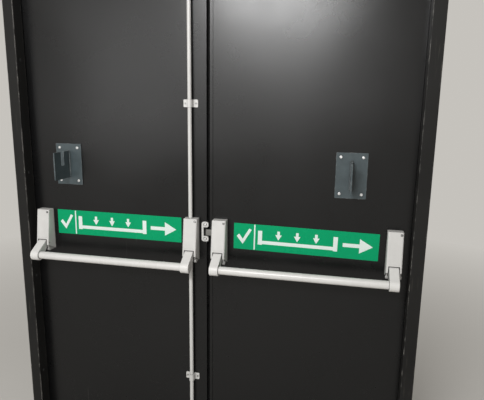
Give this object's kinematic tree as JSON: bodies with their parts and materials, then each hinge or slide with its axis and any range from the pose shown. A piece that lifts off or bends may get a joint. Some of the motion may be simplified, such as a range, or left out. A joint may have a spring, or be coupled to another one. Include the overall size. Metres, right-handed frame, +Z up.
{
  "type": "steel double door",
  "caption": "Black steel double door in its frame, with push bars, vertical rods, surface latch, brackets for a drop-in bar and green signs.",
  "frame": {"origin": "on the floor, midway between the jambs, in the plane of the closed leaves' push faces", "axes": "+X to the right seen from the push side, +Y through the door to the outside, +Z up"},
  "size_m": [1.8, 0.1925, 2.15],
  "materials": {
    "frame_paint": "satin black paint on folded steel",
    "leaf_paint": "satin black paint on sheet steel",
    "hinge_paint": "satin black paint",
    "galvanised": "plain galvanised sheet",
    "sill_metal": "mill finish with scuffs",
    "seal_rubber": "matte",
    "cover_paint": "light warm grey powder coat",
    "bar_paint": "light warm grey powder coat",
    "arm_paint": "light warm grey powder coat",
    "rod_paint": "light grey powder coat",
    "chassis_steel": "zinc plated",
    "pin_steel": "turned steel",
    "latch_steel": "worn steel",
    "keeper_paint": "light warm grey powder coat",
    "bracket_paint": "dark blue-grey paint",
    "screw_steel": "bright plated",
    "sign_green": "glossy",
    "sign_white": "glossy"
  },
  "bodies": {
    "frame": {"left_jamb": "frame_paint", "right_jamb": "frame_paint", "frame_head": "frame_paint", "threshold": "sill_metal", "frame_seal": "seal_rubber", "top_rod_keeper": "chassis_steel", "left_bottom_hinge_frame_half": "hinge_paint", "left_middle_hinge_frame_half": "hinge_paint", "left_top_hinge_frame_half": "hinge_paint", "right_bottom_hinge_frame_half": "hinge_paint", "right_middle_hinge_frame_half": "hinge_paint", "right_top_hinge_frame_half": "hinge_paint"},
    "left_leaf": {"left_bottom_hinge_leaf_half": "hinge_paint", "left_middle_hinge_leaf_half": "hinge_paint", "left_top_hinge_leaf_half": "hinge_paint", "left_outer_tray": "leaf_paint", "left_push_sheet": "leaf_paint", "left_stiffeners": "galvanised", "left_sign_plate": "sign_green", "left_sign_marks": "sign_white", "left_bar_bracket": "bracket_paint", "left_large_screws": "screw_steel", "left_small_screws": "screw_steel", "left_pivot_pins": "pin_steel", "left_outer_head_chassis": "chassis_steel", "left_outer_head_cover": "cover_paint", "rod_head_chassis": "chassis_steel", "rod_head_cover": "cover_paint", "meeting_seal": "seal_rubber", "latch_keeper": "keeper_paint", "top_rod_guide": "rod_paint", "upper_rod_guide": "rod_paint", "lower_rod_guide": "rod_paint", "bottom_rod_guide": "rod_paint"},
    "right_leaf": {"right_bottom_hinge_leaf_half": "hinge_paint", "right_middle_hinge_leaf_half": "hinge_paint", "right_top_hinge_leaf_half": "hinge_paint", "right_outer_tray": "leaf_paint", "right_push_sheet": "leaf_paint", "right_stiffeners": "galvanised", "right_sign_plate": "sign_green", "right_sign_marks": "sign_white", "right_bar_bracket": "bracket_paint", "right_large_screws": "screw_steel", "right_small_screws": "screw_steel", "right_pivot_pins": "pin_steel", "latch_head_chassis": "chassis_steel", "latch_head_cover": "cover_paint", "right_outer_head_chassis": "chassis_steel", "right_outer_head_cover": "cover_paint"},
    "left_bar": {"left_outer_arm": "arm_paint", "rod_arm": "arm_paint", "left_push_bar": "bar_paint"},
    "right_bar": {"latch_arm": "arm_paint", "right_outer_arm": "arm_paint", "right_push_bar": "bar_paint"},
    "top_rod": {"top_rod": "rod_paint"},
    "bottom_rod": {"bottom_rod": "rod_paint"},
    "latch_bolt": {"latch_bolt": "latch_steel"}
  },
  "joints": [
    {"name": "left_leaf_swing", "type": "hinge", "parent": "frame", "child": "left_leaf", "pos_m": [-0.8665, 0.056, 1.049], "axis": [0, 0, 1], "range_deg": [0, 110]},
    {"name": "right_leaf_swing", "type": "hinge", "parent": "frame", "child": "right_leaf", "pos_m": [0.8665, 0.056, 1.049], "axis": [0, 0, -1], "range_deg": [0, 110]},
    {"name": "left_bar_push", "type": "hinge", "parent": "left_leaf", "child": "left_bar", "pos_m": [-0.429, -0.046, 0.98], "axis": [1, 0, 0], "range_deg": [0, 20], "stiffness_Nm_per_rad": 6, "springref_deg": -45.84},
    {"name": "right_bar_push", "type": "hinge", "parent": "right_leaf", "child": "right_bar", "pos_m": [0.4235, -0.046, 0.98], "axis": [1, 0, 0], "range_deg": [0, 20], "stiffness_Nm_per_rad": 6, "springref_deg": -45.84},
    {"name": "top_rod_slide", "type": "slide", "parent": "left_leaf", "child": "top_rod", "axis": [0, 0, -1], "range_m": [0, 0.016]},
    {"name": "bottom_rod_slide", "type": "slide", "parent": "left_leaf", "child": "bottom_rod", "axis": [0, 0, 1], "range_m": [0, 0.016]},
    {"name": "latch_bolt_slide", "type": "slide", "parent": "right_leaf", "child": "latch_bolt", "axis": [1, 0, 0], "range_m": [0, 0.021]}
  ],
  "couplings": [
    {"joint": "top_rod_slide", "follows": "left_bar_push", "m_per_rad": 0.0458},
    {"joint": "bottom_rod_slide", "follows": "left_bar_push", "m_per_rad": 0.0458},
    {"joint": "latch_bolt_slide", "follows": "right_bar_push", "m_per_rad": 0.0601}
  ]
}
